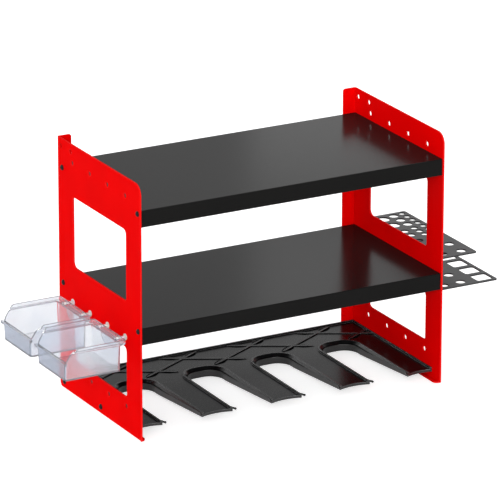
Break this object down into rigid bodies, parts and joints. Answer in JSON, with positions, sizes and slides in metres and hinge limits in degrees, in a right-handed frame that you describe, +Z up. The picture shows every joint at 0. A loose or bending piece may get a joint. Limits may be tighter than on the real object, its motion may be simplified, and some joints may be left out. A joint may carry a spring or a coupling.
{
  "type": "wall-mounted power tool organizer",
  "caption": "Wall-mounted tool organizer: flanged side panels with shelves, a slotted comb that holds power tools by the grip, plug-in clear bins and a perforated two-tier rack.",
  "frame": {"origin": "centre of the four wall-screw holes, on the wall plane", "axes": "+X to the right as seen from the front, +Y into the wall, +Z up"},
  "size_m": [0.6474, 0.2355, 0.35],
  "materials": {
    "panel_red": "satin red powder coat",
    "shelf_black": "satin black powder coat",
    "comb_black": "semi-gloss moulded plastic",
    "rack_grey": "dark grey powder coat",
    "bin_clear": "clear moulded polystyrene",
    "peg_nylon": "natural nylon",
    "screw_black": "black oxide steel"
  },
  "bodies": {
    "frame": {"side_panel_left": "panel_red", "side_panel_right": "panel_red", "shelf_top": "shelf_black", "shelf_middle": "shelf_black", "tool_comb": "comb_black", "tool_rack": "rack_grey", "shelf_top_screw_left_back": "screw_black", "shelf_top_screw_left_front": "screw_black", "shelf_middle_screw_left_back": "screw_black", "shelf_middle_screw_left_front": "screw_black", "comb_screw_left_back": "screw_black", "comb_screw_left_front": "screw_black", "shelf_top_screw_right_back": "screw_black", "shelf_top_screw_right_front": "screw_black", "shelf_middle_screw_right_back": "screw_black", "shelf_middle_screw_right_front": "screw_black", "comb_screw_right_back": "screw_black", "comb_screw_right_front": "screw_black", "rack_screw_1": "screw_black", "rack_nut_1": "screw_black", "rack_screw_2": "screw_black", "rack_nut_2": "screw_black", "rack_screw_3": "screw_black", "rack_nut_3": "screw_black", "rack_screw_4": "screw_black", "rack_nut_4": "screw_black"},
    "rear_bin": {"bin_rear": "bin_clear", "bin_rear_peg_back": "peg_nylon", "bin_rear_peg_front": "peg_nylon"},
    "front_bin": {"bin_front": "bin_clear", "bin_front_peg_back": "peg_nylon", "bin_front_peg_front": "peg_nylon"}
  },
  "joints": [
    {"name": "rear_bin_pull", "type": "slide", "parent": "frame", "child": "rear_bin", "axis": [-1, 0, 0], "range_m": [0, 0.04]},
    {"name": "front_bin_pull", "type": "slide", "parent": "frame", "child": "front_bin", "axis": [-1, 0, 0], "range_m": [0, 0.04]}
  ]
}
